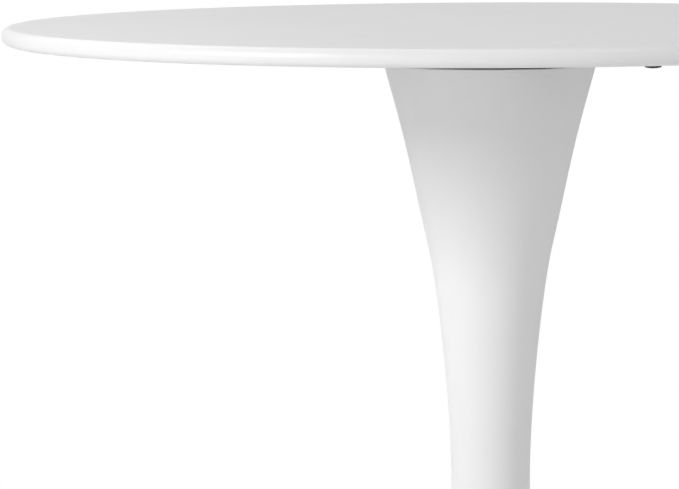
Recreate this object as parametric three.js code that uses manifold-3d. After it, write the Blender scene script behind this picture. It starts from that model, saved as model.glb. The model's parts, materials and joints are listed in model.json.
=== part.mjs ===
// Round pedestal table: a lacquered fibreboard top on a hollow trumpet-shaped column and a flared foot.
// One long rod clamps the steel bracket under the top, the column and the weighted foot together.
// Millimetres, +Z up. The origin is on the floor, in the middle of the foot.

import * as THREE from 'three';
import { mergeVertices } from 'three/addons/utils/BufferGeometryUtils.js';
import Module from 'manifold-3d';

const wasm = await Module();
wasm.setup();

// Driving dimensions
const TABLE_HEIGHT = 750;
const TOP_RADIUS = 515;
const TOP_THICKNESS = 18;
const MOUTH_RADIUS = 112.6;       // column, at its top rim
const MOUTH_HEIGHT = 706.8;
const WAIST_RADIUS = 42.2;        // column, where it is narrowest
const WAIST_HEIGHT = 245;
const SEAM_RADIUS = 92;           // where the column stands on the foot
const SEAM_HEIGHT = 62;
const FOOT_RADIUS = 270;
const FOOT_EDGE_HEIGHT = 9;
const GAP = 0.3;                  // between pieces that touch

// Bracket under the top: four tube arms on a round plate
const ARM_COUNT = 4;
const ARM_AZIMUTH = -60;          // degrees, first arm
const ARM_START = 19;             // leaves room for the rod's nut
const ARM_END = 332;
const ARM_WIDTH = 25;
const ARM_DEPTH = 11;
const ARM_WALL = 2;
const CAP_THICKNESS = 1.5;
const CAP_PLUG_LENGTH = 7;
const PLATE_RADIUS = 78;
const PLATE_THICKNESS = 5;

// Screws through the arms, and the threaded inserts that they turn into
const SCREW_CIRCLES = [200, 320];
const SCREW_RADIUS = 3;
const SCREW_HOLE_RADIUS = 3.4;
const SCREW_END_HEIGHT = 742;
const HEAD_RADIUS = 8.5;
const HEAD_DEPTH = 2.8;
const HEAD_RIM = 1;
const SOCKET_RADIUS = 2.6;
const SOCKET_DEPTH = 1.8;
const INSERT_RADIUS = 5;
const INSERT_LENGTH = 11;
const INSERT_HOLE_DEPTH = 12;

// Moulded plug in the column's mouth
const PLUG_FLANGE_RADIUS = 108;
const PLUG_SKIRT_RADIUS = 101.4;
const PLUG_BOSS_RADIUS = 14;
const PLUG_WALL = 4;
const PLUG_DEPTH = 16;
const PLUG_RIBS = 6;
const RIB_THICKNESS = 3;

// Column and foot shells
const COLUMN_WALL = 4;
const COLUMN_LIP = 5;
const MOUTH_LIP_RADIUS = 102;
const SEAM_LIP_RADIUS = 57;
const FOOT_WALL = 2.5;
const FOOT_EDGE_DROP = 2.7;

// Collar that carries the column inside the foot
const COLLAR_RADIUS = 56;
const COLLAR_WALL = 5;
const COLLAR_TOP = 84;
const COLLAR_FLANGE_RADIUS = 80;
const COLLAR_FLANGE_THICKNESS = 5;

// Rod, nuts and washers
const ROD_RADIUS = 5;
const ROD_HOLE_RADIUS = 5.6;
const ROD_OVERHANG = 1.2;         // past each nut
const NUT_ACROSS_FLATS = 16;
const NUT_HEIGHT = 7;
const WASHER_RADIUS = 12;
const WASHER_THICKNESS = 2;

// Weight in the foot, and the glides that screw into it
const WEIGHT_RADIUS = 236;
const WEIGHT_EDGE_TOP = 9;
const WEIGHT_TOP = 16;
const WEIGHT_BOSS_RADIUS = 45;
const WEIGHT_BOSS_TOP = 30;
const NUT_POCKET_RADIUS = 16;
const NUT_POCKET_DEPTH = 12;
const GLIDE_COUNT = 4;
const GLIDE_AZIMUTH = 45;         // degrees, first glide
const GLIDE_CIRCLE = 195;
const PAD_RADIUS = 18;
const PAD_THICKNESS = 5;
const STUD_RADIUS = 4;
const STUD_HOLE_RADIUS = 4.6;
const STUD_LENGTH = 10;

// Levels that follow from them
const TOP_UNDERSIDE = TABLE_HEIGHT - TOP_THICKNESS;
const ARM_TOP = TOP_UNDERSIDE - GAP;
const ARM_BOTTOM = ARM_TOP - ARM_DEPTH;
const PLATE_TOP = ARM_BOTTOM - GAP;
const PLATE_BOTTOM = PLATE_TOP - PLATE_THICKNESS;
const WEIGHT_BOTTOM = PAD_THICKNESS + GAP;
const NUT_POCKET_TOP = WEIGHT_BOTTOM + NUT_POCKET_DEPTH;
const FOOT_TOP = SEAM_HEIGHT - GAP;

// Outside of the foot and column, from the foot's edge up: a flat flare, the waist, then a nearly
// straight cone. Each knot is [radius, height].
const PEDESTAL_KNOTS = [
  [FOOT_RADIUS, FOOT_EDGE_HEIGHT],
  [225, 14.5],
  [178, 22.5],
  [132, 37.5],
  [SEAM_RADIUS, SEAM_HEIGHT],
  [65, 100],
  [49, 158],
  [WAIST_RADIUS, WAIST_HEIGHT],
  [46.3, 356],
  [60.7, 484],
  [74.2, 549],
  [92.5, 632],
  [MOUTH_RADIUS, MOUTH_HEIGHT],
];
const SEAM_KNOT = 4;
const STEPS_PER_KNOT = 3;

const MATERIALS = {
  lacquer: { color: 0xf1f1ef, roughness: 0.45, metalness: 0 },
  shell: { color: 0xededea, roughness: 0.55, metalness: 0 },
  powderCoat: { color: 0xefefec, roughness: 0.5, metalness: 0 },
  blackSteel: { color: 0x17181a, roughness: 0.6, metalness: 0.2 },
  iron: { color: 0x3a3b3d, roughness: 0.8, metalness: 0.6 },
  zinc: { color: 0xb9bcc0, roughness: 0.35, metalness: 1 },
  brass: { color: 0xb08d4a, roughness: 0.4, metalness: 1 },
  blackPlastic: { color: 0x1b1b1c, roughness: 0.65, metalness: 0 },
};

const table = new THREE.Group();

function addPiece(name, geometry, material, parent = table) {
  const mesh = new THREE.Mesh(geometry, new THREE.MeshStandardMaterial(MATERIALS[material]));
  mesh.name = name;
  parent.add(mesh);
}

// ---- Geometry helpers ----

// Turns an outline of [radius, height] points, listed anticlockwise, about the Z axis. An outline
// that touches the axis starts and ends on it, and any other is closed here.
function turned(outline, segments) {
  const points = outline.map(([radius, height]) => new THREE.Vector2(radius, height));
  if (outline[0][0] > 0) points.push(points[0].clone());
  return new THREE.LatheGeometry(points, segments).rotateX(Math.PI / 2);
}

function disc(radius, bottom, top, segments) {
  return turned([[0, bottom], [radius, bottom], [radius, top], [0, top]], segments);
}

function ring(inner, outer, bottom, top, segments) {
  return turned([[inner, bottom], [outer, bottom], [outer, top], [inner, top]], segments);
}

// A disc turned from six flats, for hexagons.
function hexagon(acrossFlats, bottom, top) {
  const corner = acrossFlats / Math.sqrt(3);
  return disc(corner, bottom, top, 6);
}

// A round drill through the point [x, y].
function drill(radius, [x, y], bottom, top) {
  return disc(radius, bottom, top, 12).translate(x, y, 0);
}

function box(from, to) {
  const size = to.map((high, i) => high - from[i]);
  const centre = to.map((high, i) => (high + from[i]) / 2);
  return new THREE.BoxGeometry(...size).translate(...centre);
}

function polar(radius, degrees) {
  const angle = THREE.MathUtils.degToRad(degrees);
  return [radius * Math.cos(angle), radius * Math.sin(angle)];
}

// The pedestal's outline between two of its knots.
function pedestalCurve(firstKnot, lastKnot) {
  const points = PEDESTAL_KNOTS.map(([radius, height]) => new THREE.Vector3(radius, height, 0));
  const curve = new THREE.CatmullRomCurve3(points, false, 'centripetal');
  return curve.getPoints((points.length - 1) * STEPS_PER_KNOT)
    .slice(firstKnot * STEPS_PER_KNOT, lastKnot * STEPS_PER_KNOT + 1)
    .map((point) => [point.x, point.y]);
}

// A curve that runs upwards, moved to its inner side by a wall's thickness.
function inset(curve, wall) {
  return curve.map(([radius, height], i) => {
    const [r0, z0] = curve[Math.max(i - 1, 0)];
    const [r1, z1] = curve[Math.min(i + 1, curve.length - 1)];
    const run = Math.hypot(r1 - r0, z1 - z0);
    return [radius - (wall * (z1 - z0)) / run, height + (wall * (r1 - r0)) / run];
  });
}

// A mesh with shared corners and no collapsed triangles, as a solid for joining and cutting.
function toSolid(geometry) {
  const bare = geometry.clone();
  bare.deleteAttribute('normal');
  bare.deleteAttribute('uv');
  const merged = mergeVertices(bare);
  const corners = [];
  for (let i = 0; i < merged.index.count; i += 3) {
    const [a, b, c] = [0, 1, 2].map((k) => merged.index.getX(i + k));
    if (a !== b && b !== c && c !== a) corners.push(a, b, c);
  }
  return new wasm.Manifold(new wasm.Mesh({
    numProp: 3,
    vertProperties: new Float32Array(merged.attributes.position.array),
    triVerts: new Uint32Array(corners),
  }));
}

function toGeometry(solid) {
  const mesh = solid.getMesh();
  const geometry = new THREE.BufferGeometry();
  geometry.setAttribute('position', new THREE.BufferAttribute(mesh.vertProperties, 3));
  geometry.setIndex(new THREE.BufferAttribute(mesh.triVerts, 1));
  geometry.computeVertexNormals();
  return geometry;
}

function cut(geometry, tools) {
  return toGeometry(tools.reduce((solid, tool) => solid.subtract(toSolid(tool)), toSolid(geometry)));
}

function joined(geometries) {
  return toGeometry(geometries.map(toSolid).reduce((sum, solid) => sum.add(solid)));
}

// ---- Top and its threaded inserts ----

function armAngles() {
  return Array.from({ length: ARM_COUNT }, (_, i) => ARM_AZIMUTH + (i * 360) / ARM_COUNT);
}

function screwPlaces() {
  return armAngles().flatMap((angle) => SCREW_CIRCLES.map((radius) => polar(radius, angle)));
}

// The edge is a full half round.
function tableTop() {
  const edgeRadius = TOP_THICKNESS / 2;
  const steps = 8;
  const edge = Array.from({ length: steps + 1 }, (_, i) => {
    const angle = -Math.PI / 2 + (i * Math.PI) / steps;
    const radius = TOP_RADIUS - edgeRadius + edgeRadius * Math.cos(angle);
    return [radius, TOP_UNDERSIDE + edgeRadius + edgeRadius * Math.sin(angle)];
  });
  const board = turned([[0, TOP_UNDERSIDE], ...edge, [0, TABLE_HEIGHT]], 72);
  const holeRadius = INSERT_RADIUS + GAP;
  const holeEnd = TOP_UNDERSIDE + INSERT_HOLE_DEPTH;
  const holes = screwPlaces().map((place) => drill(holeRadius, place, TOP_UNDERSIDE - 1, holeEnd));
  return cut(board, holes);
}

function insert() {
  return ring(SCREW_RADIUS + GAP, INSERT_RADIUS, TOP_UNDERSIDE, TOP_UNDERSIDE + INSERT_LENGTH, 12);
}

// ---- Bracket ----

// One rectangular tube along +X, drilled for its screws.
function bracketArm() {
  const half = ARM_WIDTH / 2;
  const tube = box([ARM_START, -half, ARM_BOTTOM], [ARM_END, half, ARM_TOP]);
  const bore = box(
    [ARM_START - 1, ARM_WALL - half, ARM_BOTTOM + ARM_WALL],
    [ARM_END + 1, half - ARM_WALL, ARM_TOP - ARM_WALL],
  );
  const holes = SCREW_CIRCLES.map((x) => drill(SCREW_HOLE_RADIUS, [x, 0], ARM_BOTTOM - 1, ARM_TOP + 1));
  return cut(tube, [bore, ...holes]);
}

// The end cap is a thin plate with a plug that sits inside the tube.
function armCap() {
  const half = ARM_WIDTH / 2;
  const start = ARM_END + GAP;
  const inset = ARM_WALL + GAP;
  const plate = box([start, -half, ARM_BOTTOM], [start + CAP_THICKNESS, half, ARM_TOP]);
  const plug = box(
    [ARM_END - CAP_PLUG_LENGTH, inset - half, ARM_BOTTOM + inset],
    [start + CAP_THICKNESS / 2, half - inset, ARM_TOP - inset],
  );
  return joined([plate, plug]);
}

// Head down, shank up, with a hexagon socket in the head.
function screw() {
  const headTop = ARM_BOTTOM - GAP;
  const headBottom = headTop - HEAD_DEPTH;
  const body = turned([
    [0, headBottom],
    [HEAD_RADIUS * 0.6, headBottom],
    [HEAD_RADIUS * 0.88, headTop - 1.9 * HEAD_RIM],
    [HEAD_RADIUS, headTop - HEAD_RIM],
    [HEAD_RADIUS, headTop],
    [SCREW_RADIUS, headTop],
    [SCREW_RADIUS, SCREW_END_HEIGHT],
    [0, SCREW_END_HEIGHT],
  ], 12);
  return cut(body, [disc(SOCKET_RADIUS, headBottom - 1, headBottom + SOCKET_DEPTH, 6)]);
}

function addBracket() {
  addPiece('bracket_plate', ring(ROD_HOLE_RADIUS, PLATE_RADIUS, PLATE_BOTTOM, PLATE_TOP, 32), 'blackSteel');
  armAngles().forEach((angle, i) => {
    const side = new THREE.Group();
    side.rotation.z = THREE.MathUtils.degToRad(angle);
    table.add(side);
    addPiece(`bracket_arm_${i + 1}`, bracketArm(), 'blackSteel', side);
    addPiece(`arm_end_cap_${i + 1}`, armCap(), 'blackPlastic', side);
  });
  screwPlaces().forEach(([x, y], i) => {
    addPiece(`top_screw_${i + 1}`, screw().translate(x, y, 0), 'blackSteel');
    addPiece(`threaded_insert_${i + 1}`, insert().translate(x, y, 0), 'brass');
  });
}

// ---- Column ----

// The shell is open at both ends, with a lip turned inwards at the mouth and at the seam. Its hidden
// inside has half as many points.
function columnShell() {
  const outside = pedestalCurve(SEAM_KNOT, PEDESTAL_KNOTS.length - 1);
  const seamLipTop = SEAM_HEIGHT + COLUMN_LIP;
  const mouthLipBottom = MOUTH_HEIGHT - COLUMN_LIP;
  const inside = inset(outside, COLUMN_WALL).filter((_, i) => i % 2 === 1);
  const [lowestRadius] = inside[0];
  const [highestRadius] = inside[inside.length - 1];
  return turned([
    [SEAM_LIP_RADIUS, SEAM_HEIGHT],
    ...outside,
    [MOUTH_LIP_RADIUS, MOUTH_HEIGHT],
    [MOUTH_LIP_RADIUS, mouthLipBottom],
    [highestRadius + 2, mouthLipBottom],
    ...inside.reverse(),
    [lowestRadius + 2, seamLipTop],
    [SEAM_LIP_RADIUS, seamLipTop],
  ], 36);
}

// A flange on the mouth's lip, with a skirt, a boss round the rod and ribs between them.
function mouthPlug() {
  const seat = MOUTH_HEIGHT + GAP;
  const bottom = seat - PLUG_DEPTH;
  const skirtInner = PLUG_SKIRT_RADIUS - PLUG_WALL;
  const body = turned([
    [ROD_HOLE_RADIUS, bottom],
    [PLUG_BOSS_RADIUS, bottom],
    [PLUG_BOSS_RADIUS, seat],
    [skirtInner, seat],
    [skirtInner, bottom],
    [PLUG_SKIRT_RADIUS, bottom],
    [PLUG_SKIRT_RADIUS, seat],
    [PLUG_FLANGE_RADIUS, seat],
    [PLUG_FLANGE_RADIUS, PLATE_BOTTOM - GAP],
    [ROD_HOLE_RADIUS, PLATE_BOTTOM - GAP],
  ], 36);
  const half = RIB_THICKNESS / 2;
  const ribs = Array.from({ length: PLUG_RIBS }, (_, i) => box(
    [PLUG_BOSS_RADIUS - 1, -half, bottom + 1],
    [skirtInner + 1, half, seat + 1],
  ).rotateZ((i * 2 * Math.PI) / PLUG_RIBS));
  return joined([body, ...ribs]);
}

// ---- Foot ----

// A thin pressed shell, open underneath, with a lip turned inwards under the column.
function footShell() {
  const outside = pedestalCurve(0, SEAM_KNOT).slice(0, -1);
  const edgeBottom = FOOT_EDGE_HEIGHT - FOOT_EDGE_DROP;
  const lipBottom = FOOT_TOP - FOOT_WALL;
  const inside = inset(outside, FOOT_WALL).filter((_, i) => i % 2 === 1);
  return turned([
    [FOOT_RADIUS - FOOT_WALL, edgeBottom],
    [FOOT_RADIUS, edgeBottom],
    ...outside,
    [SEAM_RADIUS, FOOT_TOP],
    [SEAM_LIP_RADIUS, FOOT_TOP],
    [SEAM_LIP_RADIUS, lipBottom],
    [SEAM_RADIUS - 1, lipBottom],
    ...inside.reverse(),
  ], 48);
}

// A tube that stands on the weight and reaches up inside the column, with a flange under its foot.
function collar() {
  const inner = COLLAR_RADIUS - COLLAR_WALL;
  const flangeTop = FOOT_TOP - FOOT_WALL - GAP;
  const flangeBottom = flangeTop - COLLAR_FLANGE_THICKNESS;
  return turned([
    [inner, WEIGHT_TOP + GAP],
    [COLLAR_RADIUS, WEIGHT_TOP + GAP],
    [COLLAR_RADIUS, flangeBottom],
    [COLLAR_FLANGE_RADIUS, flangeBottom],
    [COLLAR_FLANGE_RADIUS, flangeTop],
    [COLLAR_RADIUS, flangeTop],
    [COLLAR_RADIUS, COLLAR_TOP],
    [inner, COLLAR_TOP],
  ], 24);
}

function glidePlaces() {
  return Array.from({ length: GLIDE_COUNT }, (_, i) => (
    polar(GLIDE_CIRCLE, GLIDE_AZIMUTH + (i * 360) / GLIDE_COUNT)
  ));
}

// A flat-bottomed casting with a pocket for the rod's lower nut and a hole for each glide's stud.
function footWeight() {
  const casting = turned([
    [NUT_POCKET_RADIUS, WEIGHT_BOTTOM],
    [WEIGHT_RADIUS, WEIGHT_BOTTOM],
    [WEIGHT_RADIUS, WEIGHT_EDGE_TOP],
    [GLIDE_CIRCLE, WEIGHT_TOP],
    [WEIGHT_BOSS_RADIUS, WEIGHT_TOP],
    [WEIGHT_BOSS_RADIUS, WEIGHT_BOSS_TOP],
    [ROD_HOLE_RADIUS, WEIGHT_BOSS_TOP],
    [ROD_HOLE_RADIUS, NUT_POCKET_TOP],
    [NUT_POCKET_RADIUS, NUT_POCKET_TOP],
  ], 40);
  const holes = glidePlaces().map((place) => drill(STUD_HOLE_RADIUS, place, 0, WEIGHT_TOP + 1));
  return cut(casting, holes);
}

// A round pad with a rounded lower edge, moulded on a threaded stud.
function glide() {
  return turned([
    [0, 0],
    [PAD_RADIUS - 2, 0],
    [PAD_RADIUS, 2],
    [PAD_RADIUS, PAD_THICKNESS],
    [STUD_RADIUS, PAD_THICKNESS],
    [STUD_RADIUS, PAD_THICKNESS + STUD_LENGTH],
    [0, PAD_THICKNESS + STUD_LENGTH],
  ], 16);
}

function addFoot() {
  addPiece('foot_shell', footShell(), 'powderCoat');
  addPiece('foot_collar', collar(), 'blackSteel');
  addPiece('foot_weight', footWeight(), 'iron');
  glidePlaces().forEach(([x, y], i) => {
    addPiece(`levelling_glide_${i + 1}`, glide().translate(x, y, 0), 'blackPlastic');
  });
}

// ---- Rod that clamps it all together ----

function nut(bottom) {
  const hole = disc(ROD_RADIUS + GAP, bottom - 1, bottom + NUT_HEIGHT + 1, 12);
  return cut(hexagon(NUT_ACROSS_FLATS, bottom, bottom + NUT_HEIGHT), [hole]);
}

function washer(bottom) {
  return ring(ROD_HOLE_RADIUS, WASHER_RADIUS, bottom, bottom + WASHER_THICKNESS, 16);
}

function addRod() {
  const upperWasher = PLATE_TOP + GAP;
  const upperNut = upperWasher + WASHER_THICKNESS + GAP;
  const lowerWasher = NUT_POCKET_TOP - GAP - WASHER_THICKNESS;
  const lowerNut = lowerWasher - GAP - NUT_HEIGHT;
  const rodBottom = lowerNut - ROD_OVERHANG;
  const rodTop = upperNut + NUT_HEIGHT + ROD_OVERHANG;
  addPiece('tie_rod', disc(ROD_RADIUS, rodBottom, rodTop, 12), 'zinc');
  addPiece('upper_rod_washer', washer(upperWasher), 'zinc');
  addPiece('upper_rod_nut', nut(upperNut), 'zinc');
  addPiece('lower_rod_washer', washer(lowerWasher), 'zinc');
  addPiece('lower_rod_nut', nut(lowerNut), 'zinc');
}

addPiece('table_top', tableTop(), 'lacquer');
addBracket();
addPiece('mouth_plug', mouthPlug(), 'blackPlastic');
addPiece('pedestal_column', columnShell(), 'shell');
addFoot();
addRod();

export default table;
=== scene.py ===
# Round pedestal table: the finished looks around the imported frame. Everything is in metres.
import json
from math import asin, atan2, cos, pi, radians, sin, tan

import bmesh
import bpy
from mathutils import Matrix, Vector


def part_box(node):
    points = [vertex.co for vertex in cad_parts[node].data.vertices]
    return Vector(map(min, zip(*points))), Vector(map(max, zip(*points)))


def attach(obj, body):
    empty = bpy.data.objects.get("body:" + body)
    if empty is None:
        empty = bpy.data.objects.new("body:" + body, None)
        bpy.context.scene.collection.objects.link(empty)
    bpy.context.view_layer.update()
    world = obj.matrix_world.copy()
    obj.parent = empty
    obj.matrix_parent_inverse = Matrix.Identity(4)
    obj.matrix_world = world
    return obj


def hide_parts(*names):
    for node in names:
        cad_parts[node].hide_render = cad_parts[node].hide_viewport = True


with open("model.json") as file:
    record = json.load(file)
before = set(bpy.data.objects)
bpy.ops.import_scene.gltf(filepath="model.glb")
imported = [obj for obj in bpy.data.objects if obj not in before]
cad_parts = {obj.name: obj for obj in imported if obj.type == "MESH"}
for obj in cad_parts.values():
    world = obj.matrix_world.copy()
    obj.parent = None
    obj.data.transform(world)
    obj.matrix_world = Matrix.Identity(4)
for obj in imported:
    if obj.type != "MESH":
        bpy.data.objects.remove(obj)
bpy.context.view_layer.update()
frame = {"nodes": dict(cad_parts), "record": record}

MM = 0.001
BODY = "table"

# ---- Sizes: from the frame where it has them, and otherwise the design's own ----------------------

TOP_LOW, TOP_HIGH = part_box("table_top")
COLUMN_LOW, COLUMN_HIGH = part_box("pedestal_column")
FOOT_LOW, FOOT_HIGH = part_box("foot_shell")
WEIGHT_LOW, WEIGHT_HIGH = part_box("foot_weight")
PLATE_LOW, PLATE_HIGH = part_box("bracket_plate")
PLUG_LOW, PLUG_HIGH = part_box("mouth_plug")
ARM_LOW, ARM_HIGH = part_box("bracket_arm_1")
ROD_LOW, ROD_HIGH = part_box("tie_rod")

# Outside of the foot and column, from the foot's edge up, as (radius, height)
PEDESTAL_KNOTS = [
    (FOOT_HIGH.x, 9 * MM),
    (225 * MM, 14.5 * MM),
    (178 * MM, 22.5 * MM),
    (132 * MM, 37.5 * MM),
    (92 * MM, COLUMN_LOW.z),
    (65 * MM, 100 * MM),
    (49 * MM, 158 * MM),
    (42.2 * MM, 245 * MM),
    (46.3 * MM, 356 * MM),
    (60.7 * MM, 484 * MM),
    (74.2 * MM, 549 * MM),
    (92.5 * MM, 632 * MM),
    (COLUMN_HIGH.x, COLUMN_HIGH.z),
]
SEAM_KNOT = 4
SEAM_RADIUS = PEDESTAL_KNOTS[SEAM_KNOT][0]
STEPS_PER_KNOT = 20

TOP_LEAD = 2 * MM             # from the round edge to the flat faces' supporting ring
TOP_EDGE_STEPS = 24

COLUMN_WALL = 4 * MM
COLUMN_LIP = 5 * MM
COLUMN_INSIDE_STEP = 4        # the hidden inside keeps one point of the curve in this many
MOUTH_FLARE = 1.5 * MM        # from the end of the inside curve out to the lip, at the mouth
SEAM_FLARE = 3 * MM           # and at the seam
MOUTH_LIP_RADIUS = 102 * MM
SEAM_LIP_RADIUS = 57 * MM
FOOT_WALL = 2.5 * MM
FOOT_ROLL = 1.1 * MM          # rounding of the foot's outer edge
FOOT_INSIDE_STEP = 3          # the hidden inside keeps one point of the curve in this many
FOOT_LIP_FLARE = 1 * MM       # how far inside the seam the lip's flat underside ends

ARM_COUNT = 4
ARM_START = 19 * MM
ARM_END = 332 * MM
ARM_WIDTH = 25 * MM
ARM_WALL = 2 * MM
ARM_CORNER = 2.6 * MM
ARM_HEIGHT = (ARM_HIGH.z + ARM_LOW.z) / 2
ARM_DEPTH = ARM_HIGH.z - ARM_LOW.z
CAP_GAP = 0.3 * MM
CAP_THICKNESS = 1.5 * MM
CAP_PLUG_LENGTH = 7 * MM
WELD_SIZE = 1.9 * MM
WELD_OUT = 0.2 * MM           # how far the bead's middle is outside the plate's edge
WELD_DOWN = 0.6 * MM          # and below its top
WELD_RINGS = 48
WELD_POINTS = 12
WELD_RIPPLE = 0.1             # share of the bead's size by which it swells and shrinks
WELD_RIPPLE_TURN = 2.6        # turn of the ripple, in radians, from one ring to the next
WELD_TAPER = 8                # the higher, the later the bead tapers towards its ends
WELD_TIP = 0.1                # its size at the ends, as a share

SCREW_COUNT = 8
SCREW_RADIUS = 3 * MM
SCREW_PITCH = 1 * MM
SCREW_THREAD_DEPTH = 0.5 * MM
HEAD_RADIUS = 8.5 * MM
HEAD_DEPTH = 2.8 * MM
HEAD_RIM = 1 * MM
SOCKET_FLATS = 4.4 * MM
SOCKET_DEPTH = 1.8 * MM
HEAD_STEPS = 9
SOCKET_BOTTOM = 0.8           # width across flats at the socket's bottom, as a share
THREAD_RUNOUT = 2 * MM        # plain shank under the head
THREAD_TIP = 1 * MM           # plain end
SCREW_TURN = radians(23)      # each screw stopped this much further round than the last
INSERT_HOLE_RADIUS = 5.3 * MM
INSERT_HOLE_DEPTH = 12 * MM

ROD_HOLE_RADIUS = 5.6 * MM
ROD_PITCH = 1.5 * MM
ROD_THREAD_DEPTH = 0.8 * MM
ROD_THREAD_LENGTH = 42 * MM
ROD_TIP_BEVEL = 0.2 * MM
NUT_FLATS = 16 * MM
NUT_BORE = 5.15 * MM
NUT_CHAMFER = 0.9 * MM
NUT_CONE = radians(60)        # slope of the cone that cuts the corners
NUT_FACE_CUT = 0.2 * MM       # how far inside the flats the cone starts, at each face

PLUG_SKIRT_RADIUS = 101.4 * MM
PLUG_BOSS_RADIUS = 14 * MM
PLUG_WALL = 4 * MM
PLUG_RIBS = 6
RIB_THICKNESS = 3 * MM
POCKET_STEPS = 12

WEIGHT_EDGE_TOP = 9 * MM
WEIGHT_TOP = 16 * MM
WEIGHT_BOSS_RADIUS = 45 * MM
NUT_POCKET_RADIUS = 16 * MM
NUT_POCKET_DEPTH = 12 * MM
WEIGHT_LEAD = 6 * MM          # from the casting's edge to the ring that its flat underside starts from
NUT_POCKET_BEVEL = 1 * MM
STUD_HOLE_ROOF = 1.5 * MM     # iron above the middle of each glide's blind hole
GLIDE_COUNT = 4
STUD_HOLE_RADIUS = 4.6 * MM
STUD_RADIUS = 4 * MM
STUD_PITCH = 1.25 * MM
STUD_THREAD_DEPTH = 0.6 * MM
PAD_THICKNESS = 5 * MM
PAD_ROUNDING = 2 * MM
PAD_FLUTES = 28
PAD_FLUTE_DEPTH = 0.35 * MM
POINTS_PER_FLUTE = 6

# ---- Mesh tools -----------------------------------------------------------------------------------

SHARP_ANGLE = radians(38)
ARC_STEPS = 5
RINGS_PER_PITCH = 4
LEAD_REACH = 3         # a flat's supporting point, in lengths of the rounding beside it
LEAD_SHARE = 0.4       # and at most this share of the flat

# Points around each turned piece
TOP_POINTS = 320
FOOT_POINTS = 256
COLUMN_POINTS = 224
WEIGHT_POINTS = 160
PLUG_POINTS = 144
PLATE_POINTS = 128
CLAMP_POINTS = 72      # nuts and washers
SCREW_POINTS = 48
ROD_POINTS = 32
HOLE_POINTS = 24


def pole(height):
    """A ring of one point on the Z axis, which closes a stack of rings."""
    return [Vector((0, 0, height))]


def ring_points(radius, height, count, place=(0, 0)):
    """A level ring about a place. radius is a number, or a function of the angle."""
    points = []
    for i in range(count):
        angle = 2 * pi * i / count
        r = radius(angle) if callable(radius) else radius
        points.append(Vector((place[0] + r * cos(angle), place[1] + r * sin(angle), height)))
    return points


def bridge(mesh, rings, closed=False):
    """Joins rings of points with faces, and the last ring to the first if closed. Returns their vertices."""
    made = [[mesh.verts.new(point) for point in ring] for ring in rings]
    pairs = list(zip(made, made[1:]))
    if closed:
        pairs.append((made[-1], made[0]))
    for low, high in pairs:
        count = max(len(low), len(high))
        for i in range(count):
            j = (i + 1) % count
            if len(low) == 1:
                mesh.faces.new((low[0], high[j], high[i]))
            elif len(high) == 1:
                mesh.faces.new((low[i], low[j], high[0]))
            else:
                mesh.faces.new((low[i], low[j], high[j], high[i]))
    return made


def fillet(corners):
    """Rounds a closed outline's corners, each (radius, height, rounding).

    A point a little way along each side keeps the flats beside a rounding flat when they are shaded smooth.
    """
    outline = []
    for i, (r, z, rounding) in enumerate(corners):
        if rounding == 0:
            outline.append((r, z))
            continue
        here = Vector((r, z))
        before = Vector(corners[i - 1][:2]) - here
        after = Vector(corners[(i + 1) % len(corners)][:2]) - here
        half = before.angle(after) / 2
        reach = rounding / tan(half)
        centre = here + (before.normalized() + after.normalized()).normalized() * rounding / sin(half)
        start = here + before.normalized() * reach - centre
        sweep = -start.angle_signed(here + after.normalized() * reach - centre)
        arc = [centre + Matrix.Rotation(sweep * k / ARC_STEPS, 2) @ start for k in range(ARC_STEPS + 1)]
        leads = [
            here + side.normalized() * support
            for side, support in (
                (s, min(LEAD_REACH * reach, LEAD_SHARE * s.length)) for s in (before, after)
            )
        ]
        for side, lead in ((before, leads[0]), (after, leads[1])):
            if (lead - here).length > reach:
                arc = [lead, *arc] if side is before else [*arc, lead]
        outline += [tuple(point) for point in arc]
    return outline


def turned_rings(outline, segments):
    """Rings of an outline of (radius, height) turned about the Z axis. A point on the axis is a pole."""
    return [ring_points(r, z, segments) if r > 0 else pole(z) for r, z in outline]


def hexagon(flats):
    """Radius of a hexagon at an angle, from its width across flats."""
    return lambda angle: flats / 2 / cos((angle + pi / 6) % (pi / 3) - pi / 6)


def thread_rings(core, depth, pitch, bottom, top, count):
    """Rings up a screw thread. It fades in and out over one pitch at its ends."""
    steps = round(RINGS_PER_PITCH * (top - bottom) / pitch)
    rings = []
    for step in range(steps + 1):
        height = bottom + (top - bottom) * step / steps
        fade = min(1, (height - bottom) / pitch, (top - height) / pitch)

        def radius(angle, height=height, fade=fade):
            phase = (height / pitch - angle / (2 * pi)) % 1
            return core + depth * fade * (1 - abs(2 * phase - 1))

        rings.append(ring_points(radius, height, count))
    return rings


def loop_edges(mesh, loop):
    return [mesh.edges.get(pair) for pair in zip(loop, loop[1:] + loop[:1])]


def round_holes(radius, places):
    """Outlines of equal round holes in a level face."""
    return [ring_points(radius, 0, HOLE_POINTS, place) for place in places]


def fill_with_holes(mesh, rims, outlines, height, depth):
    """Closes a flat underside between rims of vertices, leaving a blind hole inside each outline."""
    edges = [edge for rim in rims for edge in loop_edges(mesh, rim)]
    for outline in outlines:
        walls = [[Vector((*point.xy, z)) for point in outline] for z in (height, height + depth)]
        centre = sum(walls[1], Vector()) / len(outline)
        made = bridge(mesh, [*walls, [centre]])
        edges += loop_edges(mesh, made[0])
    bmesh.ops.triangle_fill(mesh, edges=edges, use_beauty=True, normal=(0, 0, -1))


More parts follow.
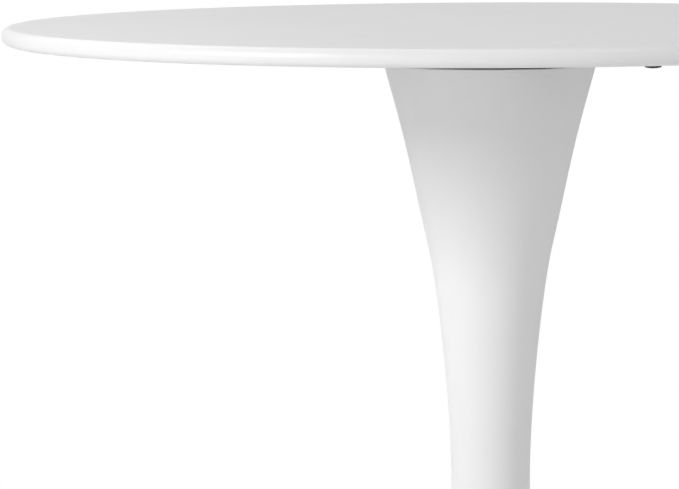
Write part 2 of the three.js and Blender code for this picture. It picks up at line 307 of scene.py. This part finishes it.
def add_piece(name, mesh, slot, nodes, body=BODY, turn=None):
    """Turns a bmesh into a finished piece that stands for CAD nodes. A slot's material has its name."""
    if turn is not None:
        bmesh.ops.transform(mesh, matrix=turn, verts=mesh.verts)
    bmesh.ops.recalc_face_normals(mesh, faces=mesh.faces)
    for face in mesh.faces:
        face.smooth = True
    for edge in mesh.edges:
        edge.smooth = edge.calc_face_angle(0) < SHARP_ANGLE
    data = bpy.data.meshes.new(name)
    mesh.to_mesh(data)
    mesh.free()
    data.materials.append(MATERIALS[slot])
    piece = bpy.data.objects.new(name, data)
    bpy.context.scene.collection.objects.link(piece)
    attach(piece, body)
    if nodes:
        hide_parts(*nodes)


def add_turned(name, corners, segments, slot, nodes):
    """A piece with a closed outline of rounded corners, turned about the Z axis."""
    mesh = bmesh.new()
    bridge(mesh, turned_rings(fillet(corners), segments), closed=True)
    add_piece(name, mesh, slot, nodes)


def middle(node):
    low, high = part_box(node)
    return (low + high) / 2


def upright(node):
    """The shift from the Z axis to a node's own upright axis."""
    centre = middle(node)
    return Matrix.Translation((centre.x, centre.y, 0))


def turn_to(node):
    """The turn about Z from the X axis to a node's middle."""
    centre = middle(node)
    return Matrix.Rotation(atan2(centre.y, centre.x), 4, "Z")


# ---- Node tools -----------------------------------------------------------------------------------

WHITE = (1, 1, 1, 1)
MIX_A, MIX_B, MIX_RESULT = 6, 7, 2     # the colour sockets of a Mix node, which share names with others


class Nodes:
    """A node tree, and short ways to add to it. A value is a number, a tuple or another node's socket."""

    def __init__(self, tree):
        self.tree = tree

    def add(self, kind, inputs=(), **settings):
        made = self.tree.nodes.new(kind)
        for setting, value in settings.items():
            setattr(made, setting, value)
        for socket, value in dict(inputs).items():
            self.set(made.inputs[socket], value)
        return made

    def set(self, socket, value):
        if isinstance(value, bpy.types.NodeSocket):
            self.tree.links.new(value, socket)
        else:
            socket.default_value = value

    def remap(self, value, low, high, to_low, to_high, curve="LINEAR"):
        inputs = {"Value": value, "From Min": low, "From Max": high, "To Min": to_low, "To Max": to_high}
        return self.add("ShaderNodeMapRange", inputs, interpolation_type=curve).outputs["Result"]

    def times(self, first, second):
        return self.add("ShaderNodeMath", {0: first, 1: second}, operation="MULTIPLY").outputs["Value"]

    def axis_distance(self, place):
        """How far a place is from the Z axis."""
        level = self.add("ShaderNodeVectorMath", {0: place, 1: (1, 1, 0)}, operation="MULTIPLY")
        return self.add("ShaderNodeVectorMath", {0: level.outputs[0]}, operation="LENGTH").outputs["Value"]

    def for_camera(self, seen, lit):
        """Mixes two shaders: one for what the camera sees, and one for the light that it gives."""
        rays = self.add("ShaderNodeLightPath").outputs["Is Camera Ray"]
        return self.add("ShaderNodeMixShader", {0: rays, 1: lit, 2: seen}).outputs[0]


class Finish(Nodes):
    """A procedural material around one Principled shader, in the object's own coordinates."""

    def __init__(self, name, metallic=0):
        self.slot = name
        self.material = bpy.data.materials.new(name)
        self.material.use_nodes = True
        super().__init__(self.material.node_tree)
        self.shader = self.tree.nodes["Principled BSDF"]
        self.shader.inputs["Metallic"].default_value = metallic
        self.place = self.add("ShaderNodeTexCoord").outputs["Object"]

    def noise(self, scale, detail=2, roughness=0.5):
        inputs = {"Vector": self.place, "Scale": scale, "Detail": detail, "Roughness": roughness}
        return self.add("ShaderNodeTexNoise", inputs).outputs["Fac"]

    def cells(self, scale):
        inputs = {"Vector": self.place, "Scale": scale}
        return self.add("ShaderNodeTexVoronoi", inputs, feature="SMOOTH_F1").outputs["Distance"]

    def tint(self, factor, first, second):
        """A colour between two, each three numbers or a socket."""
        first, second = (c if isinstance(c, bpy.types.NodeSocket) else (*c, 1) for c in (first, second))
        inputs = {"Factor": factor, MIX_A: first, MIX_B: second}
        return self.add("ShaderNodeMix", inputs, data_type="RGBA").outputs[MIX_RESULT]

    def color(self, socket):
        self.set(self.shader.inputs["Base Color"], socket)

    def roughness(self, scale, detail, low, high):
        """Roughness that wanders between two values, in patches."""
        patches = self.remap(self.noise(scale, detail), 0.3, 0.7, low, high)
        self.set(self.shader.inputs["Roughness"], patches)

    def relief(self, *layers):
        """Stacks bump layers, each (height, depth in metres)."""
        normal = None
        for height, depth in layers:
            inputs = {"Height": height, "Distance": depth, "Strength": 1}
            if normal is not None:
                inputs["Normal"] = normal
            normal = self.add("ShaderNodeBump", inputs).outputs["Normal"]
        self.set(self.shader.inputs["Normal"], normal)


# ---- Materials ------------------------------------------------------------------------------------


def white_coat(name, shade, roughness, peel_scale, peel_depth):
    """A sprayed or moulded white surface: barely uneven in tone, with orange peel and a finer grain."""
    coat = Finish(name)
    clouds = coat.remap(coat.noise(5, 3), 0.35, 0.65, 0, 1)
    coat.tone = coat.tint(clouds, (0.985 * shade,) * 3, (shade,) * 3)
    coat.color(coat.tone)
    coat.roughness(14, 4, roughness - 0.035, roughness + 0.035)
    coat.relief((coat.noise(peel_scale), peel_depth), (coat.noise(4 * peel_scale, 1), peel_depth / 6))
    return coat


def white_lacquer():
    return white_coat("white_lacquer", 0.79, 0.4, 420, 0.04 * MM)


def white_shell():
    return white_coat("white_shell", 0.8, 0.5, 700, 0.05 * MM)


def white_powder_coat():
    """Shoes have scuffed it a little around the foot's edge."""
    coat = white_coat("white_powder_coat", 0.8, 0.42, 550, 0.05 * MM)
    radius = coat.axis_distance(coat.place)
    near_edge = coat.remap(radius, 0.86 * FOOT_HIGH.x, FOOT_HIGH.x, 0, 0.5)
    marks = coat.remap(coat.noise(95, 5, 0.7), 0.56, 0.68, 0, 1)
    coat.color(coat.tint(coat.times(marks, near_edge), coat.tone, (0.6, 0.6, 0.59)))
    return coat


def black_powder_coat():
    coat = Finish("black_steel")
    dust = coat.remap(coat.noise(60, 4, 0.65), 0.45, 0.75, 0, 1)
    coat.color(coat.tint(dust, (0.014, 0.014, 0.015), (0.03, 0.03, 0.031)))
    coat.roughness(90, 3, 0.42, 0.58)
    coat.relief((coat.noise(900), 0.06 * MM))
    return coat


def black_plastic():
    plastic = Finish("black_plastic")
    plastic.color(plastic.tint(plastic.noise(40, 3), (0.018, 0.018, 0.019), (0.028, 0.028, 0.028)))
    plastic.roughness(200, 2, 0.5, 0.68)
    plastic.relief((plastic.cells(1400), 0.05 * MM))
    return plastic


def zinc_plate():
    zinc = Finish("zinc_steel", metallic=1)
    bloom = zinc.remap(zinc.noise(70, 4, 0.6), 0.35, 0.65, 0, 1)
    zinc.color(zinc.tint(bloom, (0.52, 0.53, 0.55), (0.66, 0.65, 0.61)))
    zinc.roughness(240, 3, 0.26, 0.42)
    zinc.relief((zinc.noise(1500), 0.01 * MM))
    return zinc


def turned_brass():
    brass = Finish("brass", metallic=1)
    brass.color(brass.tint(brass.noise(150, 3), (0.50, 0.36, 0.14), (0.66, 0.50, 0.24)))
    brass.roughness(400, 2, 0.28, 0.42)
    brass.relief((brass.noise(1200), 0.01 * MM))
    return brass


def cast_iron():
    """A rough sand casting, primed in dark grey."""
    iron = Finish("iron")
    blotches = iron.remap(iron.noise(26, 5, 0.6), 0.35, 0.7, 0, 1)
    iron.color(iron.tint(blotches, (0.045, 0.046, 0.05), (0.085, 0.085, 0.088)))
    iron.roughness(120, 3, 0.6, 0.8)
    iron.relief((iron.cells(260), 0.3 * MM), (iron.noise(1100, 3), 0.15 * MM))
    return iron


FINISHES = (
    white_lacquer, white_shell, white_powder_coat, black_powder_coat,
    black_plastic, zinc_plate, turned_brass, cast_iron,
)
MATERIALS = {finish.slot: finish.material for finish in (make() for make in FINISHES)}

# ---- Top ------------------------------------------------------------------------------------------


def add_board():
    """A disc with a half-round edge, and blind holes in its underside for the threaded inserts."""
    edge = (TOP_HIGH.z - TOP_LOW.z) / 2
    flat = TOP_HIGH.x - edge
    lead = flat - TOP_LEAD
    turns = [pi * step / TOP_EDGE_STEPS - pi / 2 for step in range(TOP_EDGE_STEPS + 1)]
    round_edge = [(flat + edge * cos(turn), TOP_LOW.z + edge + edge * sin(turn)) for turn in turns]
    face = [(lead, TOP_HIGH.z), (flat / 2, TOP_HIGH.z), (0, TOP_HIGH.z)]
    mesh = bmesh.new()
    rim = bridge(mesh, turned_rings([(lead, TOP_LOW.z), *round_edge, *face], TOP_POINTS))[0]
    holes = round_holes(INSERT_HOLE_RADIUS, [middle(f"top_screw_{i + 1}").xy for i in range(SCREW_COUNT)])
    fill_with_holes(mesh, [rim], holes, TOP_LOW.z, INSERT_HOLE_DEPTH)
    add_piece("top_board", mesh, "white_lacquer", ["table_top"])


# ---- Bracket under the top ------------------------------------------------------------------------


def section(x, width, depth, corner):
    """A rounded rectangle across an arm, as one ring of points."""
    points = []
    for quarter in range(4):
        side_y = 1 if quarter in (0, 3) else -1
        side_z = 1 if quarter < 2 else -1
        middle_y = side_y * (width / 2 - corner)
        middle_z = ARM_HEIGHT + side_z * (depth / 2 - corner)
        for step in range(ARC_STEPS + 1):
            angle = pi / 2 * (quarter + step / ARC_STEPS)
            points.append(Vector((x, middle_y + corner * cos(angle), middle_z + corner * sin(angle))))
    return points


def arm_section(x, shrink):
    """The arm's outer section, smaller by shrink on each side."""
    return section(x, ARM_WIDTH - 2 * shrink, ARM_DEPTH - 2 * shrink, ARM_CORNER - shrink)


def add_arm(i):
    """A length of rectangular tube with rounded corners and softened ends."""
    soft = 0.35 * MM
    lead = 2 * MM
    bore_corner = ARM_CORNER - ARM_WALL
    outer = [
        arm_section(x, shrink)
        for x, shrink in (
            (ARM_START, soft), (ARM_START + soft, 0), (ARM_START + lead, 0),
            (ARM_END - lead, 0), (ARM_END - soft, 0), (ARM_END, soft),
        )
    ]
    bore = [
        section(x, ARM_WIDTH - 2 * ARM_WALL, ARM_DEPTH - 2 * ARM_WALL, bore_corner)
        for x in (ARM_END, ARM_START)
    ]
    mesh = bmesh.new()
    bridge(mesh, outer + bore, closed=True)
    node = f"bracket_arm_{i + 1}"
    add_piece(f"arm_tube_{i + 1}", mesh, "black_steel", [node], turn=turn_to(node))


def add_arm_cap(i):
    """A cap with rounded edges, on a plug that fills the tube's mouth."""
    face = ARM_END + CAP_GAP
    plug_start = ARM_END - CAP_PLUG_LENGTH
    slack = ARM_WALL + CAP_GAP
    edge = 0.8 * MM
    plug = [
        section(x, ARM_WIDTH - 2 * shrink, ARM_DEPTH - 2 * shrink, edge)
        for x, shrink in ((plug_start, slack + edge / 2), (plug_start + edge, slack), (face, slack))
    ]
    steps = [pi / 2 * k / ARC_STEPS for k in range(ARC_STEPS + 1)]
    rounded = [
        arm_section(face + CAP_THICKNESS - edge + edge * sin(turn), edge * (1 - cos(turn))) for turn in steps
    ]
    cap = [arm_section(face, edge / 4), arm_section(face + edge / 4, 0), *rounded]
    mesh = bmesh.new()
    ends = [[Vector((x, 0, ARM_HEIGHT))] for x in (plug_start, face + CAP_THICKNESS)]
    bridge(mesh, [ends[0], *plug, *cap, ends[1]])
    node = f"arm_end_cap_{i + 1}"
    add_piece(f"arm_cap_{i + 1}", mesh, "black_plastic", [node], turn=turn_to(node))


def add_weld(i):
    """A rippled bead under an arm, where it crosses the plate's edge."""
    radius = PLATE_HIGH.x + WELD_OUT
    height = PLATE_HIGH.z - WELD_DOWN
    half_angle = asin((ARM_WIDTH / 2 - WELD_SIZE / 2) / radius)
    around = [2 * pi * k / WELD_POINTS for k in range(WELD_POINTS)]
    rings = []
    for step in range(WELD_RINGS + 1):
        along = 2 * step / WELD_RINGS - 1
        ripple = 1 + WELD_RIPPLE * sin(WELD_RIPPLE_TURN * step)
        size = WELD_SIZE * ripple * max(WELD_TIP, 1 - along**WELD_TAPER)
        outwards = Vector((cos(along * half_angle), sin(along * half_angle), 0))
        centre = radius * outwards + Vector((0, 0, height))
        rings.append([centre + size * (cos(a) * outwards + sin(a) * Vector((0, 0, 1))) for a in around])
    ends = [[sum(ring, Vector()) / len(ring)] for ring in (rings[0], rings[-1])]
    mesh = bmesh.new()
    bridge(mesh, [ends[0], *rings, ends[1]])
    add_piece(f"weld_bead_{i + 1}", mesh, "black_steel", [], turn=turn_to(f"bracket_arm_{i + 1}"))


def add_screw(i):
    """Wide low head with a hexagon socket, and a threaded shank that points up."""
    node = f"top_screw_{i + 1}"
    low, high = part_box(node)
    seat = low.z + HEAD_DEPTH
    socket_top = low.z + SOCKET_DEPTH
    soft = 0.2 * MM
    start = asin((SOCKET_FLATS / 2 + 2 * soft) / HEAD_RADIUS)
    steps = [start + (pi / 2 - start) * k / HEAD_STEPS for k in range(HEAD_STEPS + 1)]
    dome = [(HEAD_RADIUS * sin(turn), low.z + (HEAD_DEPTH - HEAD_RIM) * (1 - cos(turn))) for turn in steps]
    outline = [
        (hexagon(SOCKET_BOTTOM * SOCKET_FLATS), socket_top),
        (hexagon(SOCKET_FLATS), socket_top - soft),
        (hexagon(SOCKET_FLATS), low.z + soft),
        *dome,
        (HEAD_RADIUS, seat - soft),
        (HEAD_RADIUS - soft, seat),
        (SCREW_RADIUS + 2 * soft, seat),
        (SCREW_RADIUS, seat + 2 * soft),
    ]
    core = SCREW_RADIUS - SCREW_THREAD_DEPTH
    start, end = seat + THREAD_RUNOUT, high.z - THREAD_TIP
    thread = thread_rings(core, SCREW_THREAD_DEPTH, SCREW_PITCH, start, end, SCREW_POINTS)
    rings = [ring_points(radius, z, SCREW_POINTS) for radius, z in outline]
    tip = ring_points(core - SCREW_THREAD_DEPTH, high.z, SCREW_POINTS)
    mesh = bmesh.new()
    bridge(mesh, [pole(socket_top + soft), *rings, *thread, tip, pole(high.z)])
    turn = upright(node) @ Matrix.Rotation(SCREW_TURN * i, 4, "Z")
    add_piece(f"screw_{i + 1}", mesh, "black_steel", [node], turn=turn)


def add_plate():
    rim = 0.6 * MM
    bore = 0.4 * MM
    corners = [
        (ROD_HOLE_RADIUS, PLATE_LOW.z, bore),
        (PLATE_HIGH.x, PLATE_LOW.z, rim),
        (PLATE_HIGH.x, PLATE_HIGH.z, rim),
        (ROD_HOLE_RADIUS, PLATE_HIGH.z, bore),
    ]
    add_turned("hub_plate", corners, PLATE_POINTS, "black_steel", ["bracket_plate"])


def add_bracket():
    add_plate()
    for i in range(ARM_COUNT):
        add_arm(i)
        add_arm_cap(i)
        add_weld(i)
    for i in range(SCREW_COUNT):
        add_screw(i)


# ---- Column and the plug in its mouth -------------------------------------------------------------


def catmull_rom(knots, steps):
    """The centripetal Catmull-Rom curve through the knots, with its ends carried on straight."""
    points = [Vector(knot) for knot in knots]
    points = [2 * points[0] - points[1], *points, 2 * points[-1] - points[-2]]
    curve = []
    for before, start, end, after in zip(points, points[1:], points[2:], points[3:]):
        gap_0, gap_1, gap_2 = (
            (b - a).length ** 0.5 for a, b in ((before, start), (start, end), (end, after))
        )
        leave = (start - before) / gap_0 - (end - before) / (gap_0 + gap_1) + (end - start) / gap_1
        arrive = (end - start) / gap_1 - (after - start) / (gap_1 + gap_2) + (after - end) / gap_2
        leave *= gap_1
        arrive *= gap_1
        for step in range(steps):
            t = step / steps
            bend = (3 * (end - start) - 2 * leave - arrive) * t**2
            twist = (2 * (start - end) + leave + arrive) * t**3
            curve.append(start + leave * t + bend + twist)
    curve.append(points[-2])
    return curve


def inset(curve, wall):
    """A curve that runs upwards, moved to its inner side by a wall's thickness."""
    moved = []
    for i, point in enumerate(curve):
        run = (curve[min(i + 1, len(curve) - 1)] - curve[max(i - 1, 0)]).normalized()
        moved.append(point + wall * Vector((-run.y, run.x)))
    return moved


def plain_corners(points):
    """Points of a curve as corners without rounding."""
    return [(point.x, point.y, 0) for point in points]


PEDESTAL = catmull_rom(PEDESTAL_KNOTS, STEPS_PER_KNOT)
COLUMN_CURVE = PEDESTAL[SEAM_KNOT * STEPS_PER_KNOT:]
FOOT_CURVE = PEDESTAL[:SEAM_KNOT * STEPS_PER_KNOT + 1]


def add_column():
    """A thin moulding, open at both ends, with a lip turned inwards at each."""
    mouth = COLUMN_HIGH.z
    seam = COLUMN_LOW.z
    lip_levels = (seam + COLUMN_LIP, mouth - COLUMN_LIP)
    soft = 0.5 * MM
    hidden = inset(COLUMN_CURVE, COLUMN_WALL)[::COLUMN_INSIDE_STEP]
    inside = [p for p in hidden if lip_levels[0] + MM < p.y < lip_levels[1] - MM]
    corners = [
        (SEAM_LIP_RADIUS, seam, soft),
        (SEAM_RADIUS, seam, soft),
        *plain_corners(COLUMN_CURVE[1:-1]),
        (COLUMN_HIGH.x, mouth, 2 * soft),
        (MOUTH_LIP_RADIUS, mouth, soft),
        (MOUTH_LIP_RADIUS, lip_levels[1], soft),
        (inside[-1].x + MOUTH_FLARE, lip_levels[1], 0),
        *plain_corners(reversed(inside)),
        (inside[0].x + SEAM_FLARE, lip_levels[0], 0),
        (SEAM_LIP_RADIUS, lip_levels[0], soft),
    ]
    add_turned("column_shell", corners, COLUMN_POINTS, "white_shell", ["pedestal_column"])


def plug_pocket(turn, inner, outer):
    """The outline of the space between two ribs, the boss and the skirt, around an angle."""
    outline = []
    for radius, direction in ((outer, 1), (inner, -1)):
        reach = direction * (pi / PLUG_RIBS - asin(RIB_THICKNESS / 2 / radius))
        angles = [turn + reach * (2 * k / POCKET_STEPS - 1) for k in range(POCKET_STEPS + 1)]
        outline += [Vector((radius * cos(angle), radius * sin(angle), 0)) for angle in angles]
    return outline


def add_plug():
    """Flange and plug turned in one, with pockets moulded from below that leave a boss, a skirt and ribs."""
    seat = COLUMN_HIGH.z + CAP_GAP
    bottom = PLUG_LOW.z
    soft = 0.8 * MM
    corners = [
        (PLUG_SKIRT_RADIUS - 2 * soft, bottom, 0),
        (PLUG_SKIRT_RADIUS, bottom, soft),
        (PLUG_SKIRT_RADIUS, seat, 0),
        (PLUG_HIGH.x, seat, soft),
        (PLUG_HIGH.x, PLUG_HIGH.z, soft),
        (ROD_HOLE_RADIUS, PLUG_HIGH.z, soft / 2),
        (ROD_HOLE_RADIUS, bottom + soft, 0),
        (ROD_HOLE_RADIUS + soft, bottom, 0),
    ]
    mesh = bmesh.new()
    made = bridge(mesh, turned_rings(fillet(corners), PLUG_POINTS))
    turns = [2 * pi * (i + 0.5) / PLUG_RIBS for i in range(PLUG_RIBS)]
    pockets = [plug_pocket(turn, PLUG_BOSS_RADIUS, PLUG_SKIRT_RADIUS - PLUG_WALL) for turn in turns]
    fill_with_holes(mesh, [made[0], made[-1]], pockets, bottom, seat - bottom)
    add_piece("column_plug", mesh, "black_plastic", ["mouth_plug"])


# ---- Foot -----------------------------------------------------------------------------------------


def add_foot_shell():
    """Pressed sheet with a rolled outer edge and a lip turned inwards under the column."""
    lip_bottom = FOOT_HIGH.z - FOOT_WALL
    soft = 0.5 * MM
    hidden = inset(FOOT_CURVE, FOOT_WALL)[FOOT_INSIDE_STEP:-1:FOOT_INSIDE_STEP]
    inside = [p for p in hidden if p.y < lip_bottom - MM]
    corners = [
        (FOOT_HIGH.x - FOOT_WALL, FOOT_LOW.z, FOOT_ROLL),
        (FOOT_HIGH.x, FOOT_LOW.z, FOOT_ROLL),
        (FOOT_HIGH.x, FOOT_CURVE[0].y, FOOT_ROLL),
        *plain_corners(FOOT_CURVE[2:-1]),
        (SEAM_RADIUS, FOOT_HIGH.z, soft),
        (SEAM_LIP_RADIUS, FOOT_HIGH.z, soft),
        (SEAM_LIP_RADIUS, lip_bottom, soft),
        (SEAM_RADIUS - FOOT_LIP_FLARE, lip_bottom, 0),
        *plain_corners(reversed(inside)),
    ]
    add_turned("foot_cover", corners, FOOT_POINTS, "white_powder_coat", ["foot_shell"])


def glide_nodes():
    return [f"levelling_glide_{i + 1}" for i in range(GLIDE_COUNT)]


def add_weight():
    """Rough casting with a flat underside, a pocket for the rod's nut and a hole for each glide."""
    low = WEIGHT_LOW.z
    pocket_top = low + NUT_POCKET_DEPTH
    glide_circle = middle("levelling_glide_1").xy.length
    soft = 1.5 * MM
    bore = 0.5 * MM
    corners = [
        (WEIGHT_HIGH.x - WEIGHT_LEAD, low, 0),
        (WEIGHT_HIGH.x, low, soft),
        (WEIGHT_HIGH.x, WEIGHT_EDGE_TOP, soft),
        (glide_circle, WEIGHT_TOP, 0),
        (WEIGHT_BOSS_RADIUS, WEIGHT_TOP, 0),
        (WEIGHT_BOSS_RADIUS, WEIGHT_HIGH.z, soft),
        (ROD_HOLE_RADIUS, WEIGHT_HIGH.z, bore),
        (ROD_HOLE_RADIUS, pocket_top, bore),
        (NUT_POCKET_RADIUS, pocket_top, bore),
        (NUT_POCKET_RADIUS, low + NUT_POCKET_BEVEL, 0),
        (NUT_POCKET_RADIUS + NUT_POCKET_BEVEL, low, 0),
    ]
    mesh = bmesh.new()
    made = bridge(mesh, turned_rings(fillet(corners), WEIGHT_POINTS))
    holes = round_holes(STUD_HOLE_RADIUS, [middle(node).xy for node in glide_nodes()])
    fill_with_holes(mesh, [made[0], made[-1]], holes, low, WEIGHT_TOP - low - STUD_HOLE_ROOF)
    add_piece("ballast", mesh, "iron", ["foot_weight"])


def add_glide(node):
    """A pad with a fluted rim to turn it by, moulded on a threaded stud."""
    low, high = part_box(node)
    pad = (high.x - low.x) / 2
    count = POINTS_PER_FLUTE * PAD_FLUTES
    edge = 0.6 * MM

    def fluted(shrink):
        return lambda angle: pad - shrink - PAD_FLUTE_DEPTH * (1 - abs(cos(PAD_FLUTES / 2 * angle)))

    steps = [pi / 2 * k / ARC_STEPS for k in range(ARC_STEPS)]
    sole = [(pad - PAD_ROUNDING * (1 - sin(turn)), PAD_ROUNDING * (1 - cos(turn))) for turn in steps]
    outline = [
        (pad - PAD_ROUNDING - edge, 0),
        *sole,
        (fluted(0), PAD_ROUNDING + edge / 2),
        (fluted(0), PAD_THICKNESS - edge),
        (fluted(edge / 4), PAD_THICKNESS - edge / 2),
        (fluted(edge), PAD_THICKNESS - edge / 8),
        (pad - 4 * edge, PAD_THICKNESS),
        (STUD_RADIUS + edge, PAD_THICKNESS),
    ]
    core = STUD_RADIUS - STUD_THREAD_DEPTH
    foot_of_thread = PAD_THICKNESS + edge / 2
    thread = thread_rings(core, STUD_THREAD_DEPTH, STUD_PITCH, foot_of_thread, high.z - edge, count)
    rings = [ring_points(radius, z, count) for radius, z in outline]
    tip = ring_points(core - edge / 2, high.z, count)
    mesh = bmesh.new()
    bridge(mesh, [pole(0), *rings, *thread, tip, pole(high.z)])
    name = node.replace("levelling_glide", "glide")
    add_piece(name, mesh, "black_plastic", [node], body=node, turn=upright(node))


def add_foot():
    add_foot_shell()
    add_weight()
    for node in glide_nodes():
        add_glide(node)


# ---- Rod, nuts and washers ------------------------------------------------------------------------


def add_rod():
    """Threads rolled on both ends of a thinner plain rod."""
    low, high = ROD_LOW.z, ROD_HIGH.z
    core = ROD_HIGH.x - ROD_THREAD_DEPTH
    shank = core + ROD_THREAD_DEPTH / 2
    end = 1 * MM
    lengths = (
        (low + end, low + ROD_THREAD_LENGTH),
        (high - ROD_THREAD_LENGTH, high - end),
    )
    lower, upper = (
        thread_rings(core, ROD_THREAD_DEPTH, ROD_PITCH, start, stop, ROD_POINTS) for start, stop in lengths
    )
    plain = [ring_points(shank, z, ROD_POINTS) for z in (lengths[0][1] + end, lengths[1][0] - end)]
    tips = [ring_points(core - ROD_TIP_BEVEL, z, ROD_POINTS) for z in (low, high)]
    mesh = bmesh.new()
    bridge(mesh, [pole(low), tips[0], *lower, *plain, *upper, tips[1], pole(high)])
    add_piece("clamping_rod", mesh, "zinc_steel", ["tie_rod"])


def add_nut(node, name):
    """A hexagon whose corners are cut off by a cone at both faces."""
    low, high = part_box(node)
    flats = hexagon(NUT_FLATS)
    slope = tan(NUT_CONE)
    soft = 0.5 * MM

    def cut(level):
        return lambda angle: min(flats(angle), NUT_FLATS / 2 - NUT_FACE_CUT + level * slope)

    levels = [NUT_CHAMFER * k / ARC_STEPS for k in range(ARC_STEPS + 1)]
    outer = [(cut(level), low.z + level) for level in levels]
    outer += [(cut(level), high.z - level) for level in reversed(levels)]
    bore = [
        (NUT_BORE + soft, high.z), (NUT_BORE, high.z - soft),
        (NUT_BORE, low.z + soft), (NUT_BORE + soft, low.z),
    ]
    mesh = bmesh.new()
    bridge(mesh, [ring_points(radius, z, CLAMP_POINTS) for radius, z in outer + bore], closed=True)
    add_piece(name, mesh, "zinc_steel", [node])


def add_washer(node, name):
    low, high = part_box(node)
    soft = 0.35 * MM
    corners = [
        (ROD_HOLE_RADIUS, low.z, soft),
        (high.x, low.z, soft),
        (high.x, high.z, soft),
        (ROD_HOLE_RADIUS, high.z, soft),
    ]
    add_turned(name, corners, CLAMP_POINTS, "zinc_steel", [node])


def add_clamp():
    add_rod()
    for end in ("upper", "lower"):
        add_nut(f"{end}_rod_nut", f"{end}_nut")
        add_washer(f"{end}_rod_washer", f"{end}_washer")


def finish_kept_nodes():
    """CAD nodes that stay as they are get their finished material."""
    for part in frame["record"]["subparts"]:
        slots = frame["nodes"][part["node"]].material_slots
        for slot in slots:
            slot.material = MATERIALS[part["material_slot"]]


# ---- Stage: camera, floor, lights -----------------------------------------------------------------

CAMERA_PLACE = Vector((0, -3.8625, 0.9334))
CAMERA_LENS = 193.27
CAMERA_HEADING = radians(2.382)   # to the left of straight ahead
CAMERA_TILT = radians(6.191)      # below level
CAMERA_ROLL = radians(-0.344)

HORIZON_LIGHT = 0.61
ZENITH_LIGHT = 0.07
FLOOR_SHADE = 0.8
FLOOR_GLOW = 0.13      # light that the floor hands on from the rest of the studio
FLOOR_SIZE = 120
FLOOR_GAP = 0.2 * MM   # keeps the floor just below the glides that stand on it
FADE_START = 0.4       # distances from the table's axis between which the floor fades to white
FADE_END = 1.4

# Soft lamps as (name, heading, elevation, distance, size, power). Heading 0 is in front of the
# table and 90 is on its right. The last three are larger than the key, and so softer.
LAMPS = [
    ("key", -50, 20, 4.5, 1.3, 101),
    ("back_wall", -140, 50, 4, 4, 60),
    ("right_wall", 60, 25, 4, 2.5, 16),
    ("overhead", 25, 75, 3, 2, 15),
]
LAMP_TARGET = Vector((0, 0, 0.6))


def add_camera():
    data = bpy.data.cameras.new("camera")
    data.lens = CAMERA_LENS
    camera = bpy.data.objects.new("camera", data)
    aim = Matrix.Rotation(CAMERA_HEADING, 4, "Z") @ Matrix.Rotation(pi / 2 - CAMERA_TILT, 4, "X")
    camera.matrix_world = Matrix.Translation(CAMERA_PLACE) @ aim @ Matrix.Rotation(CAMERA_ROLL, 4, "Z")
    bpy.context.scene.collection.objects.link(camera)
    bpy.context.scene.camera = camera


def add_lamp(name, heading, elevation, distance, size, power):
    """A square softbox that faces the table."""
    data = bpy.data.lights.new(name, "AREA")
    data.shape = "SQUARE"
    data.size = size
    data.energy = power
    lamp = bpy.data.objects.new(name, data)
    around, up = radians(heading), radians(elevation)
    outwards = Vector((sin(around) * cos(up), -cos(around) * cos(up), sin(up)))
    lamp.location = LAMP_TARGET + distance * outwards
    lamp.rotation_mode = "QUATERNION"
    lamp.rotation_quaternion = outwards.to_track_quat("Z", "Y")
    lamp.visible_camera = False
    bpy.context.scene.collection.objects.link(lamp)


def add_world():
    """A pale room, brighter at the horizon than overhead. The camera sees it as plain white."""
    world = bpy.data.worlds.new("studio")
    world.use_nodes = True
    nodes = Nodes(world.node_tree)
    nodes.tree.nodes.clear()
    direction = nodes.add("ShaderNodeTexCoord").outputs["Generated"]
    height = nodes.add("ShaderNodeSeparateXYZ", {0: direction}).outputs["Z"]
    strength = nodes.remap(nodes.times(height, height), 0, 1, HORIZON_LIGHT, ZENITH_LIGHT)
    seen = nodes.add("ShaderNodeBackground", {"Color": WHITE}).outputs[0]
    lit = nodes.add("ShaderNodeBackground", {"Color": WHITE, "Strength": strength}).outputs[0]
    nodes.add("ShaderNodeOutputWorld", {"Surface": nodes.for_camera(seen, lit)})
    bpy.context.scene.world = world


def floor_material():
    """Matt and pale. Where the camera sees it far from the table, it fades into the white room."""
    material = bpy.data.materials.new("studio_floor")
    material.use_nodes = True
    nodes = Nodes(material.node_tree)
    nodes.tree.nodes.clear()
    shade = (FLOOR_SHADE, FLOOR_SHADE, FLOOR_SHADE, 1)
    matt = nodes.add("ShaderNodeBsdfDiffuse", {"Color": shade}).outputs[0]
    white = nodes.add("ShaderNodeEmission", {"Color": WHITE}).outputs[0]
    glow = nodes.add("ShaderNodeEmission", {"Color": WHITE, "Strength": FLOOR_GLOW}).outputs[0]
    place = nodes.add("ShaderNodeTexCoord").outputs["Object"]
    fade = nodes.remap(nodes.axis_distance(place), FADE_START, FADE_END, 0, 1, "SMOOTHSTEP")
    seen = nodes.add("ShaderNodeMixShader", {0: fade, 1: matt, 2: white}).outputs[0]
    lit = nodes.add("ShaderNodeAddShader", {0: matt, 1: glow}).outputs[0]
    nodes.add("ShaderNodeOutputMaterial", {"Surface": nodes.for_camera(seen, lit)})
    return material


def add_floor():
    mesh = bmesh.new()
    bmesh.ops.create_grid(mesh, x_segments=1, y_segments=1, size=FLOOR_SIZE / 2)
    data = bpy.data.meshes.new("floor")
    mesh.to_mesh(data)
    mesh.free()
    data.materials.append(floor_material())
    floor = bpy.data.objects.new("floor", data)
    floor.location.z = -FLOOR_GAP
    bpy.context.scene.collection.objects.link(floor)


def add_stage():
    add_camera()
    add_world()
    add_floor()
    for lamp in LAMPS:
        add_lamp(*lamp)
    bpy.context.scene.view_settings.view_transform = "Standard"


add_board()
add_bracket()
add_column()
add_plug()
add_foot()
add_clamp()
finish_kept_nodes()
add_stage()
